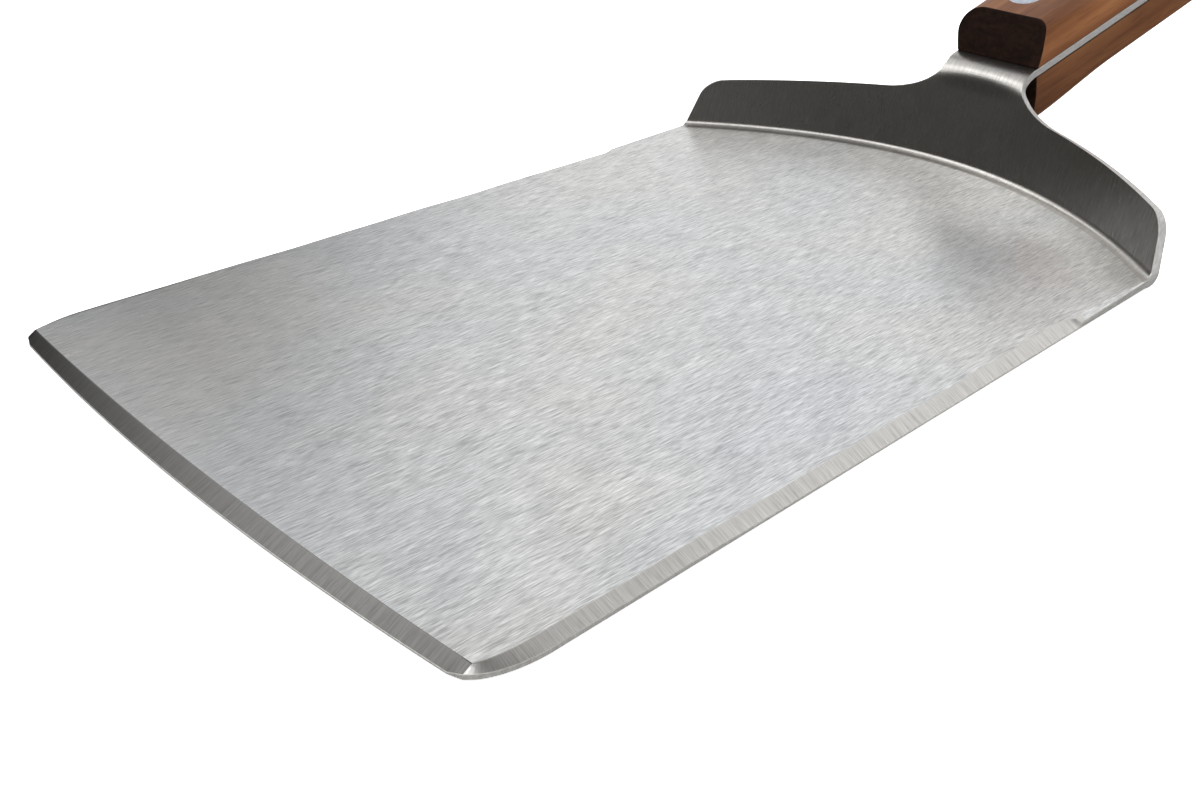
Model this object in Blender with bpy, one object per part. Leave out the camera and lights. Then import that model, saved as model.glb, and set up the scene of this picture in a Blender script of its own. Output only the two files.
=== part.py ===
"""Grill spatula: one ground steel sheet with a full tang, two wooden scales and three two-part rivets.

The script works in millimetres and stores metres. +X is the blade's right side, +Y runs from the
front edge to the butt of the handle, and +Z is up. The blade's flat underside lies on z = 0.
"""

import bisect
from math import copysign, cos, pi, radians, sin, tan

import bmesh
import bpy
from mathutils import Vector

MM = 0.001
GAP = 0.3

# The blade's flat web. Its front edge is a shallow arc whose foremost point is at y = 0.
SHEET = 2.0
FRONT_SAG = 3.9
FRONT_HALF_WIDTH = 76.6
SIDE_START_Y = 17.4
SIDE_TAPER = 0.0256
CORNER_X = 6.3
CORNER_Y = SIDE_START_Y - 3.4

# The ground bevels: a thin front edge, and a thicker land along each side up to a run-out.
FRONT_LAND = 0.35
FRONT_BEVEL_Y = 3.45
FRONT_BEVEL_SAG = 2.75
SIDE_LAND = 0.9
SIDE_BEVEL = 2.8
MITRE_X = 72.44
BEVEL_END_Y = 167.0
BEVEL_RUN_OUT = 2.2
CORNER_STEPS = 9
MITRE_STEP = 7
FRONT_STEPS = 9
WEB_MARGIN = 1.0

# The flange: the sheet bends up along an arc across the blade and leans back.
BEND_SIDE_Y = 198.3
BEND_SAG = 28.5
BEND_HALF_SPAN = 72.0
BEND_RADIUS = 2.0
LEAN_SIDE = radians(15.0)
LEAN_CENTRE = radians(20.1)

# The flange's outline. Distances run up the wall from the bend's sharp corner.
FLANGE_TOP_HALF = 69.2
FLANGE_TOP = 12.8
FLANGE_TOP_SLOPE = 0.0867
FLANGE_CORNER = 5.5
NECK_EASE_START = 26.3
NECK_EASE_RISE = 7.4

# The neck bends back to the slope of the tang, which is as wide as the handle.
NECK_HEIGHT = 26.6
NECK_RADIUS = 9.0
TANG_SLOPE = radians(11.5)
HANDLE_HALF = 12.3
FLATTEN_FROM = 19.0
FLATTEN_TO = 27.0

# The handle: two scales, flush with the tang where they meet it, with full sides and round edges.
SCALE_FRONT_Y = 240.6
SCALE_LENGTH = 140.0
SCALE_THICK = 12.4
SIDE_BULGE = 0.7
EDGE_ROUND = 6.0
BUTT_ROUND = 9.0

# The rivets, along the handle from the front of the scales.
RIVET_PLACES = {"front": 12.5, "middle": 70.0, "rear": 126.0}
HEAD_RADIUS = 4.0
HEAD_THICK = 1.5
TUBE_RADIUS = 2.5
BORE_RADIUS = 1.9
SHANK_RADIUS = 1.6
BORE_DEPTH = 18.0
RIVET_SIDES = 20

# How finely the curved surfaces are divided.
COLUMNS = 18
BEND_STEPS = 6
OUTLINE_STEPS = 7
TOP_EDGE_STEPS = 12
ROUND_STEPS = 5
BULGE_STEPS = 3
SHARP_ANGLE = radians(30)

STEEL = ("steel", (0.62, 0.62, 0.61), 0.32, 1.0)
WOOD = ("wood", (0.25, 0.11, 0.05), 0.5, 0.0)
RIVET_METAL = ("rivet_metal", (0.62, 0.66, 0.71), 0.35, 1.0)


def smoothstep(t):
    t = min(max(t, 0.0), 1.0)
    return t * t * (3.0 - 2.0 * t)


def clear_scene():
    for obj in list(bpy.data.objects):
        bpy.data.objects.remove(obj, do_unlink=True)


def material(name, colour, roughness, metallic):
    found = bpy.data.materials.get(name)
    if found:
        return found
    mat = bpy.data.materials.new(name)
    mat.use_nodes = True
    shader = mat.node_tree.nodes["Principled BSDF"]
    shader.inputs["Base Color"].default_value = (*colour, 1.0)
    shader.inputs["Roughness"].default_value = roughness
    shader.inputs["Metallic"].default_value = metallic
    return mat


def mesh_object(name, bm, finish, parent):
    """An object from a bmesh in millimetres, facing out, and shaded smooth but for its edges."""
    bmesh.ops.recalc_face_normals(bm, faces=bm.faces)
    bmesh.ops.scale(bm, vec=(MM, MM, MM), verts=bm.verts)
    mesh = bpy.data.meshes.new(name)
    bm.to_mesh(mesh)
    bm.free()
    mesh.materials.append(material(*finish))
    mesh.shade_smooth()
    mesh.set_sharp_from_angle(angle=SHARP_ANGLE)
    obj = bpy.data.objects.new(name, mesh)
    bpy.context.scene.collection.objects.link(obj)
    obj.parent = parent
    return obj


def cut(obj, cutter):
    """Cuts one object with another, and leaves the cutter as a hidden guide."""
    modifier = obj.modifiers.new("cut_" + cutter.name, "BOOLEAN")
    modifier.operation = "DIFFERENCE"
    modifier.solver = "EXACT"
    modifier.object = cutter
    cutter.hide_render = True
    cutter.display_type = "WIRE"


# ---- The sheet's shape: x across, s along the profile from the sharp corner of the flange's bend ----


def rounded_corner(s, slope_in, slope_out, radius):
    """(run, rise) at a distance s from the sharp corner of two straight runs that an arc joins."""
    turn = slope_out - slope_in
    reach = radius * tan(abs(turn) / 2)
    if s <= -reach:
        return s * cos(slope_in), s * sin(slope_in)
    if s >= reach:
        return s * cos(slope_out), s * sin(slope_out)
    slope = slope_in + turn * (s + reach) / (2 * reach)
    arc = copysign(radius, turn)
    run = -reach * cos(slope_in) + arc * (sin(slope) - sin(slope_in))
    rise = -reach * sin(slope_in) + arc * (cos(slope_in) - cos(slope))
    return run, rise


def crown(x, s):
    """1 on the bend's crown and 0 at the flange's sides; constant across the neck and the tang."""
    curved = 1 - (x / BEND_HALF_SPAN) ** 2
    level = 1 - (HANDLE_HALF / BEND_HALF_SPAN) ** 2
    return curved + (level - curved) * smoothstep((s - FLATTEN_FROM) / (FLATTEN_TO - FLATTEN_FROM))


def sheet_top(x, s):
    """A point of the sheet's upper surface."""
    high = crown(x, s)
    wall_slope = pi / 2 - (LEAN_SIDE + (LEAN_CENTRE - LEAN_SIDE) * high)
    neck_s = (NECK_HEIGHT - SHEET) / sin(wall_slope)
    if s < neck_s / 2:
        run, rise = rounded_corner(s, 0.0, wall_slope, BEND_RADIUS)
    else:
        run, rise = rounded_corner(s - neck_s, wall_slope, TANG_SLOPE, NECK_RADIUS)
        run += neck_s * cos(wall_slope)
        rise += neck_s * sin(wall_slope)
    return Vector((x, BEND_SIDE_Y + BEND_SAG * high + run, SHEET + rise))


def sheet_bottom(x, s):
    """The point of the lower surface that is one thickness below sheet_top's."""
    step = 0.02
    across = sheet_top(x + step, s) - sheet_top(x - step, s)
    along = sheet_top(x, s + step) - sheet_top(x, s - step)
    return sheet_top(x, s) - SHEET * across.cross(along).normalized()


def side_half(y):
    """The web's half width."""
    return FRONT_HALF_WIDTH - SIDE_TAPER * (y - SIDE_START_Y)


def front_edge(x):
    return FRONT_SAG * (x / FRONT_HALF_WIDTH) ** 2


def front_bevel_top(x):
    return FRONT_BEVEL_Y + FRONT_BEVEL_SAG * (x / FRONT_HALF_WIDTH) ** 2


def top_edge(x):
    """How far up the wall the flange's sloping top edge is."""
    return FLANGE_TOP + (FLANGE_TOP_HALF - x) * FLANGE_TOP_SLOPE


def arc_between(start, corner, end, radius, steps):
    """Points of the arc that rounds the corner of two straight lines."""
    back = (start - corner).normalized()
    ahead = (end - corner).normalized()
    half = back.angle(ahead) / 2
    centre = corner + (back + ahead).normalized() * radius / sin(half)
    first = corner + back * radius / tan(half) - centre
    last = corner + ahead * radius / tan(half) - centre
    return [centre + radius * first.slerp(last, i / steps) for i in range(steps + 1)]


def neck_run():
    """(wall slope, distance up the wall to the neck's sharp corner) on the neck's flat part."""
    high = crown(0.0, FLATTEN_TO)
    wall_slope = pi / 2 - (LEAN_SIDE + (LEAN_CENTRE - LEAN_SIDE) * high)
    return wall_slope, (NECK_HEIGHT - SHEET) / sin(wall_slope)


def sheet_outline():
    """(s, half width) from just ahead of the bend to the butt, in order."""
    bend_reach = BEND_RADIUS * tan((pi / 2 - LEAN_SIDE) / 2)
    foot_half = side_half(BEND_SIDE_Y)
    flat_end = bend_reach + WEB_MARGIN
    outline = [(-flat_end, side_half(BEND_SIDE_Y - flat_end))]
    for i in range(BEND_STEPS + 1):
        s = bend_reach * (2 * i / BEND_STEPS - 1)
        inward = (foot_half - FLANGE_TOP_HALF) * max(s, 0.0) / FLANGE_TOP
        outline.append((s, side_half(BEND_SIDE_Y + min(s, 0.0)) - inward))
    foot = Vector((foot_half, 0.0))
    shoulder = Vector((FLANGE_TOP_HALF, FLANGE_TOP))
    ease = Vector((NECK_EASE_START, top_edge(NECK_EASE_START)))
    corner = arc_between(foot, shoulder, ease, FLANGE_CORNER, OUTLINE_STEPS)
    outline += [(p.y, p.x) for p in corner]
    for i in range(1, TOP_EDGE_STEPS + 1):
        p = corner[-1].lerp(ease, i / TOP_EDGE_STEPS)
        outline.append((p.y, p.x))
    for i in range(1, OUTLINE_STEPS + 1):
        angle = pi / 2 * i / OUTLINE_STEPS
        x = NECK_EASE_START - (NECK_EASE_START - HANDLE_HALF) * sin(angle)
        outline.append((top_edge(x) + NECK_EASE_RISE * (1 - cos(angle)), x))
    return outline


def handle_outline():
    """(s, half width) of the tang's rounded butt."""
    end = neck_run()[1] + handle_front(-SHEET / 2) + SCALE_LENGTH
    angles = [pi / 2 * i / ROUND_STEPS for i in range(ROUND_STEPS + 1)]
    inner = HANDLE_HALF - BUTT_ROUND
    return [(end - BUTT_ROUND * (1 - sin(a)), inner + BUTT_ROUND * cos(a)) for a in angles]


def sheet_rows():
    """The outline with the neck bend's own rows added, at the width the outline has there."""
    outline = sheet_outline()
    wall_slope, neck_s = neck_run()
    reach = NECK_RADIUS * tan((wall_slope - TANG_SLOPE) / 2)
    rows = list(outline)
    for i in range(BEND_STEPS + 1):
        s = neck_s + reach * (2 * i / BEND_STEPS - 1)
        after = bisect.bisect([row[0] for row in outline], s)
        half = HANDLE_HALF
        if after < len(outline):
            (s0, h0), (s1, h1) = outline[after - 1], outline[after]
            half = h0 + (h1 - h0) * (s - s0) / (s1 - s0)
        rows.append((s, half))
    return sorted(rows) + handle_outline()


def front_rim():
    """Half of the web's rim, from the rear of the right side to the front edge's middle.

    Each entry is (outline x, outline y, land height, inner x, inner y), with the inner point on
    the web's top surface where the bevel begins."""
    run_out_y = BEVEL_END_Y + BEVEL_RUN_OUT
    run_out_half = side_half(run_out_y)
    bevel_half = side_half(BEVEL_END_Y)
    rim = [(run_out_half, run_out_y, SHEET, run_out_half, run_out_y),
           (bevel_half, BEVEL_END_Y, SIDE_LAND, bevel_half - SIDE_BEVEL, BEVEL_END_Y)]
    mitre_y = front_bevel_top(MITRE_X)
    side_inner_x = FRONT_HALF_WIDTH - SIDE_BEVEL
    for i in range(CORNER_STEPS + 1):
        angle = pi / 2 * i / CORNER_STEPS
        x = FRONT_HALF_WIDTH - CORNER_X * (1 - cos(angle))
        y = SIDE_START_Y - CORNER_Y * sin(angle)
        if i <= MITRE_STEP:
            part = sin(angle) / sin(pi / 2 * MITRE_STEP / CORNER_STEPS)
            inner_x = side_inner_x - (side_inner_x - MITRE_X) * part**3
            inner_y = SIDE_START_Y + (mitre_y - SIDE_START_Y) * part
            land = SIDE_LAND
        else:
            part = (i - MITRE_STEP) / (CORNER_STEPS - MITRE_STEP)
            inner_x = MITRE_X + (x - MITRE_X) * part
            inner_y = front_bevel_top(inner_x)
            land = SIDE_LAND + (FRONT_LAND - SIDE_LAND) * part
        rim.append((x, y, land, inner_x, inner_y))
    corner_end = FRONT_HALF_WIDTH - CORNER_X
    for i in range(1, FRONT_STEPS + 1):
        x = corner_end * (1 - i / FRONT_STEPS)
        rim.append((x, front_edge(x), FRONT_LAND, x, front_bevel_top(x)))
    return rim


def full_rim():
    """The whole rim, right side first, mirrored about the middle of the front edge."""
    half = front_rim()
    mirrored = [(-x, y, land, -inner_x, inner_y) for x, y, land, inner_x, inner_y in half[-2::-1]]
    return half + mirrored


def make_blade(root):
    bm = bmesh.new()
    tops = []
    bottoms = []
    for s, half in sheet_rows():
        across = [half * (2 * k / COLUMNS - 1) for k in range(COLUMNS + 1)]
        tops.append([bm.verts.new(sheet_top(x, s)) for x in across])
        bottoms.append([bm.verts.new(sheet_bottom(x, s)) for x in across])
    for j in range(len(tops) - 1):
        for k in range(COLUMNS):
            bm.faces.new((tops[j][k], tops[j][k + 1], tops[j + 1][k + 1], tops[j + 1][k]))
            bm.faces.new((bottoms[j][k], bottoms[j + 1][k], bottoms[j + 1][k + 1], bottoms[j][k + 1]))
        for k in (0, COLUMNS):
            bm.faces.new((tops[j][k], bottoms[j][k], bottoms[j + 1][k], tops[j + 1][k]))
    for k in range(COLUMNS):
        bm.faces.new((tops[-1][k], tops[-1][k + 1], bottoms[-1][k + 1], bottoms[-1][k]))

    rim = [(bottoms[0][-1], tops[0][-1], tops[0][-1])]
    for x, y, land, inner_x, inner_y in full_rim():
        low = bm.verts.new((x, y, 0.0))
        edge = bm.verts.new((x, y, land))
        inner = edge if land == SHEET else bm.verts.new((inner_x, inner_y, SHEET))
        rim.append((low, edge, inner))
    rim.append((bottoms[0][0], tops[0][0], tops[0][0]))
    for (low_a, edge_a, inner_a), (low_b, edge_b, inner_b) in zip(rim, rim[1:]):
        bm.faces.new((low_a, low_b, edge_b, edge_a))
        bevel = list(dict.fromkeys((edge_a, edge_b, inner_b, inner_a)))
        if len(bevel) > 2:
            bm.faces.new(bevel)
    bm.faces.new([inner for _, _, inner in rim] + tops[0][1:-1])
    bm.faces.new([low for low, _, _ in rim] + bottoms[0][1:-1])
    bmesh.ops.triangulate(bm, faces=[face for face in bm.faces if len(face.verts) > 3])
    return mesh_object("blade_and_tang", bm, STEEL, root)


# ---- The handle, in its own frame: x across, u along from the neck's corner, n up from the tang's top ----


def empty(name, parent=None):
    """A frame for other objects to be placed in."""
    obj = bpy.data.objects.new(name, None)
    bpy.context.scene.collection.objects.link(obj)
    obj.parent = parent
    return obj


def neck_corner_y():
    """Where the sharp corner of the neck's bend is along Y."""
    wall_slope, neck_s = neck_run()
    return BEND_SIDE_Y + BEND_SAG * crown(0.0, FLATTEN_TO) + neck_s * cos(wall_slope)


def handle_frame(root):
    """An empty at the sharp corner of the neck's bend, on the tang's top surface, turned to its slope."""
    frame = empty("handle_frame", root)
    frame.location = (0.0, neck_corner_y() * MM, NECK_HEIGHT * MM)
    frame.rotation_euler = (TANG_SLOPE, 0.0, 0.0)
    return frame


def handle_front(n):
    """Where the vertical front face of the scales is along the handle, at a height n."""
    return (SCALE_FRONT_Y - neck_corner_y() + n * sin(TANG_SLOPE)) / cos(TANG_SLOPE)


def scale_ring(bm, n, inset):
    """One level of a scale's outline, drawn in by inset: straight at the front, round at the butt."""
    butt = handle_front(-SHEET / 2) + SCALE_LENGTH - inset
    half = HANDLE_HALF - inset
    radius = BUTT_ROUND - inset
    right = [(half, handle_front(n))]
    for i in range(ROUND_STEPS + 1):
        angle = pi / 2 * i / ROUND_STEPS
        right.append((half - radius * (1 - cos(angle)), butt - radius * (1 - sin(angle))))
    outline = right + [(-x, u) for x, u in reversed(right)]
    return [bm.verts.new((x, u, n)) for x, u in outline]


def make_scale(name, side, frame):
    """A scale above (side 1) or below (side -1) the tang."""
    tang_face = 0.0 if side > 0 else -SHEET
    flat = SCALE_THICK - EDGE_ROUND
    levels = []
    for i in range(BULGE_STEPS + 1):
        depth = GAP + (flat - GAP) * i / BULGE_STEPS
        levels.append((depth, -SIDE_BULGE * sin(pi / 2 * (depth - GAP) / (flat - GAP))))
    for i in range(1, ROUND_STEPS + 1):
        angle = pi / 2 * i / ROUND_STEPS
        levels.append((flat + EDGE_ROUND * sin(angle), EDGE_ROUND * (1 - cos(angle)) - SIDE_BULGE))
    bm = bmesh.new()
    rings = [scale_ring(bm, tang_face + side * depth, inset) for depth, inset in levels]
    for lower, upper in zip(rings, rings[1:]):
        for i in range(len(lower)):
            j = (i + 1) % len(lower)
            bm.faces.new((lower[i], lower[j], upper[j], upper[i]))
    bm.faces.new(rings[0])
    bm.faces.new(rings[-1])
    return mesh_object(name, bm, WOOD, frame)


def turned(name, profile, finish, frame, u):
    """A round piece on an axis across the handle, from (radius, n) points that start and end on it."""
    bm = bmesh.new()
    rings = []
    for radius, n in profile:
        if radius == 0.0:
            rings.append([bm.verts.new((0.0, 0.0, n))])
            continue
        angles = [2 * pi * i / RIVET_SIDES for i in range(RIVET_SIDES)]
        rings.append([bm.verts.new((radius * cos(a), radius * sin(a), n)) for a in angles])
    for first, second in zip(rings, rings[1:]):
        for i in range(RIVET_SIDES):
            j = (i + 1) % RIVET_SIDES
            corners = (first[i % len(first)], first[j % len(first)],
                       second[j % len(second)], second[i % len(second)])
            bm.faces.new(list(dict.fromkeys(corners)))
    obj = mesh_object(name, bm, finish, frame)
    obj.location = (0.0, u * MM, 0.0)
    return obj


def rivet_profiles():
    """The (radius, n) outlines of the male half, the female half and the hole that they sit in."""
    top = SCALE_THICK
    bottom = -SHEET - SCALE_THICK
    under_male = top - HEAD_THICK
    over_female = bottom + HEAD_THICK
    upper_seat = under_male - GAP
    lower_seat = over_female + GAP
    tube_end = upper_seat - GAP
    bore_floor = tube_end - BORE_DEPTH
    male = [(0.0, top), (HEAD_RADIUS, top), (HEAD_RADIUS, under_male), (SHANK_RADIUS, under_male),
            (SHANK_RADIUS, bore_floor + GAP), (0.0, bore_floor + GAP)]
    female = [(0.0, bottom), (HEAD_RADIUS, bottom), (HEAD_RADIUS, over_female),
              (TUBE_RADIUS, over_female), (TUBE_RADIUS, tube_end), (BORE_RADIUS, tube_end),
              (BORE_RADIUS, bore_floor), (0.0, bore_floor)]
    seat = HEAD_RADIUS + GAP
    hole = TUBE_RADIUS + GAP
    beyond = 2.0
    drilled = [(0.0, bottom - beyond), (seat, bottom - beyond), (seat, lower_seat), (hole, lower_seat),
               (hole, upper_seat), (seat, upper_seat), (seat, top + beyond), (0.0, top + beyond)]
    return male, female, drilled


def make_rivets(frame, drilled_objects):
    male, female, drilled = rivet_profiles()
    for place, distance in RIVET_PLACES.items():
        u = handle_front(-SHEET / 2) + distance
        turned("rivet_" + place + "_male", male, RIVET_METAL, frame, u)
        turned("rivet_" + place + "_female", female, RIVET_METAL, frame, u)
        drill = turned("drill_" + place, drilled, RIVET_METAL, frame, u)
        for obj in drilled_objects:
            cut(obj, drill)


def centre_length(root):
    """Slides the part along Y so that the origin lies below the middle of its length."""
    bpy.context.view_layer.update()
    reach = []
    for obj in bpy.data.objects:
        if obj.type == "MESH" and not obj.hide_render:
            reach += [(obj.matrix_world @ vertex.co).y for vertex in obj.data.vertices]
    root.location.y = -(min(reach) + max(reach)) / 2


def main():
    clear_scene()
    root = empty("spatula_frame")
    frame = handle_frame(root)
    blade = make_blade(root)
    upper = make_scale("upper_scale", 1, frame)
    lower = make_scale("lower_scale", -1, frame)
    make_rivets(frame, (blade, upper, lower))
    centre_length(root)


main()
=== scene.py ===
"""Looks of the grill spatula: the ground and brushed steel sheet, its wooden scales and their rivets.

Lengths are millimetres in the functions and metres in the meshes. The part's own frame has its
foremost point at y = 0; Y_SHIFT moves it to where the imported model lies.
"""

import bisect
from math import asin, copysign, cos, pi, radians, sin, sqrt, tan

import bmesh
import bpy
from mathutils import Matrix, Vector


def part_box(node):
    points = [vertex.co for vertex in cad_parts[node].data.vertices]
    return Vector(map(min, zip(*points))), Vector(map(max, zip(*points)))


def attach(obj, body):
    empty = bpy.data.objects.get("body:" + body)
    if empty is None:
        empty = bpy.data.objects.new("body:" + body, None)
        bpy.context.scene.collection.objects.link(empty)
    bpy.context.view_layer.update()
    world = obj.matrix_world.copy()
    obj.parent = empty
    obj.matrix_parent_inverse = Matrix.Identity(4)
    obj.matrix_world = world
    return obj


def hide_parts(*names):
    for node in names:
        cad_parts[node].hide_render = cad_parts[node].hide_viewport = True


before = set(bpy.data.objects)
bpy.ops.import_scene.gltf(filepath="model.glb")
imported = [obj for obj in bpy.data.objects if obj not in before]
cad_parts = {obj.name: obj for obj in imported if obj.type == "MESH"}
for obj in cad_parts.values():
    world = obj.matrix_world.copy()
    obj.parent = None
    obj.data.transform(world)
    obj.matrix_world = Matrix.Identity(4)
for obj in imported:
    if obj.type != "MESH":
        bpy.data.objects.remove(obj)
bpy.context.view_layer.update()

MM = 0.001

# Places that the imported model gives.
BLADE_LOW, BLADE_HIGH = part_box("blade_and_tang")
Y_SHIFT = BLADE_LOW.y / MM
FRONT_HALF_WIDTH = BLADE_HIGH.x / MM
SCALE_FRONT_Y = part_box("upper_scale")[0].y / MM - Y_SHIFT

# The flat web and its corners.
SHEET = 2.0
FRONT_SAG = 3.9
SIDE_START_Y = 17.4
SIDE_TAPER = 0.0256
CORNER_X = 6.3
CORNER_Y = 14.1

# The ground bevels, and the round edge that replaces the side bevel behind its run-out.
FRONT_LAND = 0.35
FRONT_BEVEL_Y = 3.45
FRONT_BEVEL_SAG = 2.75
SIDE_LAND = 0.9
REAR_LAND = 0.35
REAR_LAND_Y = 110.0
SIDE_BEVEL = 2.8
MITRE_X = 72.44
MITRE_FAN = 6  # a power: how late round the corner the rows' outer ends draw ahead of the inner ones
MITRE_SWEEP = 3  # a power: how late round the corner the rows' inner ends turn in to the mitre
RUN_OUT_START = 163.5
RUN_OUT_END = 169.5
RUN_OUT_FADE = 1.8
RUN_OUT_WIDTH = 1.1
DUBBED_WIDTH = 2.6
DUBBED_DEPTH = 1.35
FLANGE_ROUND = 0.28

# Wear: how far it reaches from a sharp corner, and how far its middle point is from that corner.
WORN_EDGE = 0.16
WORN_CORNER = 0.05
WORN_SHOULDER = Vector((0.016, 0.0096))
WORN_TOE = Vector((0.02, 0.0))
SLOPE_SHARES = (0.35, 0.7)

# The flange and its outline, up the wall from the bend's sharp corner.
BEND_SIDE_Y = 198.3
BEND_SAG = 28.5
BEND_HALF_SPAN = 72.0
BEND_RADIUS = 2.0
LEAN_SIDE = radians(15.0)
LEAN_CENTRE = radians(20.1)
FLANGE_TOP_HALF = 69.2
FLANGE_TOP = 12.8
FLANGE_TOP_SLOPE = 0.0867
FLANGE_CORNER = 5.5
NECK_EASE_START = 26.3
NECK_EASE_RISE = 7.4

# The neck, the tang and the handle.
NECK_HEIGHT = 26.6
NECK_RADIUS = 9.0
TANG_SLOPE = radians(11.5)
HANDLE_HALF = 12.3
FLATTEN_FROM = 19.0
FLATTEN_TO = 27.0
SCALE_LENGTH = 140.0
SCALE_THICK = 12.4
SCALE_JOIN = 0.04
SIDE_BULGE = 0.7
EDGE_ROUND = 5.6
LEFT_FRONT_ROUND = 8.0
RIGHT_FRONT_ROUND = 2.6
SHAPED_LENGTH = 38.0
BUTT_ROUND = 9.0
BUTT_TAPER = 0.25
END_GRAIN_ROUND = 0.35

# The two-part rivets.
RIVET_PLACES = {"front": 12.5, "middle": 70.0, "rear": 126.0}
HEAD_RADIUS = 4.0
HEAD_THICK = 1.5
HEAD_DOME = 0.12
HEAD_EDGE = 0.22
HEAD_WORN = 0.066
TUBE_RADIUS = 2.5
BORE_RADIUS = 1.9
SHANK_RADIUS = 1.6
BORE_DEPTH = 18.0
FIT_GAP = 0.1
INNER_GAP = 0.3
DRILL_BEYOND = 2.0

# How finely the surfaces are divided.
COLUMNS = 56
COLUMN_PLACES = [2 * k / COLUMNS - 1 for k in range(COLUMNS + 1)]
ROW_EASE = 6
WEB_STEP = 2.4
FINE_STEP = 0.45
CORNER_STEP = 0.9
WEB_MARGIN = 1.0
BEND_STEPS = 16
OUTLINE_STEPS = 14
TOP_EDGE_STEPS = 20
ROUND_STEPS = 12
EDGE_STEPS = 7
SCALE_ROWS = 40
DEPTH_STEPS = 20
RIVET_SIDES = 72
SLOPE_STEP = 0.02
SOFTENED_STEPS = 3
SOFTENED_ANGLE = radians(55)
SHARP_ANGLE = radians(35)

# The web isn't dead flat: low rolling waves along it, each as (height, length, phase). They fade
# over WAVE_FADE and are gone WAVE_FADE_AHEAD before the sides of the bend.
WAVES = ((0.07, 46.0, 0.6), (0.05, 27.0, 2.1))
WAVE_FADE = 25.0
WAVE_FADE_AHEAD = 15.0

GRAIN = "grain"


# ---- Shape of the sheet ----


def clamp(t):
    return min(max(t, 0.0), 1.0)


def smoothstep(t):
    t = clamp(t)
    return t * t * (3.0 - 2.0 * t)


def mix(a, b, t):
    return a + (b - a) * t


def rounded_corner(s, slope_in, slope_out, radius):
    """(run, rise) at a distance s from the sharp corner of two straight runs that an arc joins."""
    turn = slope_out - slope_in
    reach = radius * tan(abs(turn) / 2)
    if s <= -reach:
        return s * cos(slope_in), s * sin(slope_in)
    if s >= reach:
        return s * cos(slope_out), s * sin(slope_out)
    slope = slope_in + turn * (s + reach) / (2 * reach)
    arc = copysign(radius, turn)
    run = -reach * cos(slope_in) + arc * (sin(slope) - sin(slope_in))
    rise = -reach * sin(slope_in) + arc * (cos(slope_in) - cos(slope))
    return run, rise


def crown(x, s):
    """1 on the bend's crown and 0 at the flange's sides; constant across the neck and the tang."""
    curved = 1 - (x / BEND_HALF_SPAN) ** 2
    level = 1 - (HANDLE_HALF / BEND_HALF_SPAN) ** 2
    return mix(curved, level, smoothstep((s - FLATTEN_FROM) / (FLATTEN_TO - FLATTEN_FROM)))


def sheet_top(x, s):
    """A point of the upper surface, s along the profile from the flange bend's sharp corner."""
    high = crown(x, s)
    wall_slope = pi / 2 - mix(LEAN_SIDE, LEAN_CENTRE, high)
    neck_s = (NECK_HEIGHT - SHEET) / sin(wall_slope)
    if s < neck_s / 2:
        run, rise = rounded_corner(s, 0.0, wall_slope, BEND_RADIUS)
    else:
        run, rise = rounded_corner(s - neck_s, wall_slope, TANG_SLOPE, NECK_RADIUS)
        run += neck_s * cos(wall_slope)
        rise += neck_s * sin(wall_slope)
    return Vector((x, BEND_SIDE_Y + BEND_SAG * high + run, SHEET + rise))


def sheet_point(x, s, depth):
    """A point below the upper surface by depth, square to it."""
    across = sheet_top(x + SLOPE_STEP, s) - sheet_top(x - SLOPE_STEP, s)
    along = sheet_top(x, s + SLOPE_STEP) - sheet_top(x, s - SLOPE_STEP)
    return sheet_top(x, s) - depth * across.cross(along).normalized()


def neck_run():
    """(wall slope, distance up the wall to the neck's sharp corner) on the neck's flat part."""
    wall_slope = pi / 2 - mix(LEAN_SIDE, LEAN_CENTRE, crown(0.0, FLATTEN_TO))
    return wall_slope, (NECK_HEIGHT - SHEET) / sin(wall_slope)


def neck_corner_y():
    wall_slope, neck_s = neck_run()
    return BEND_SIDE_Y + BEND_SAG * crown(0.0, FLATTEN_TO) + neck_s * cos(wall_slope)


def handle_front(n):
    """Where the vertical front face of the scales is along the handle, at a height n."""
    return (SCALE_FRONT_Y - neck_corner_y() + n * sin(TANG_SLOPE)) / cos(TANG_SLOPE)


def side_half(y):
    return FRONT_HALF_WIDTH - SIDE_TAPER * (y - SIDE_START_Y)


def front_edge(x):
    """The front outline's y: a shallow arc that runs into the elliptical corners."""
    corner_start = FRONT_HALF_WIDTH - CORNER_X
    if abs(x) < corner_start:
        return FRONT_SAG * (x / FRONT_HALF_WIDTH) ** 2
    part = (abs(x) - corner_start) / CORNER_X
    return SIDE_START_Y - CORNER_Y * sqrt(1 - part * part)


def front_bevel_top(x):
    return FRONT_BEVEL_Y + FRONT_BEVEL_SAG * (x / FRONT_HALF_WIDTH) ** 2


def wave(y):
    """The web's slight unevenness, which fades out before the flange's bend."""
    rolling = sum(size * sin(y / length * 2 * pi + phase) for size, length, phase in WAVES)
    return rolling * smoothstep((BEND_SIDE_Y - WAVE_FADE_AHEAD - y) / WAVE_FADE)


# ---- The rim: how the sheet ends along its sides and its front ----


def bevel_profile(width, drop):
    """(inset, depth) points down a ground bevel and its land, with worn edges."""
    down = Vector((-width, drop)).normalized() * WORN_EDGE
    top = Vector((width, 0.0))
    foot = Vector((0.0, drop))
    shoulder = [top + Vector((WORN_EDGE, 0.0)), top + WORN_SHOULDER, top + down]
    slope = [top.lerp(foot, share) for share in SLOPE_SHARES]
    toe = [foot - down, foot + WORN_TOE, foot + Vector((0.0, WORN_EDGE))]
    return shoulder + slope + toe + bottom_corner()


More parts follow.
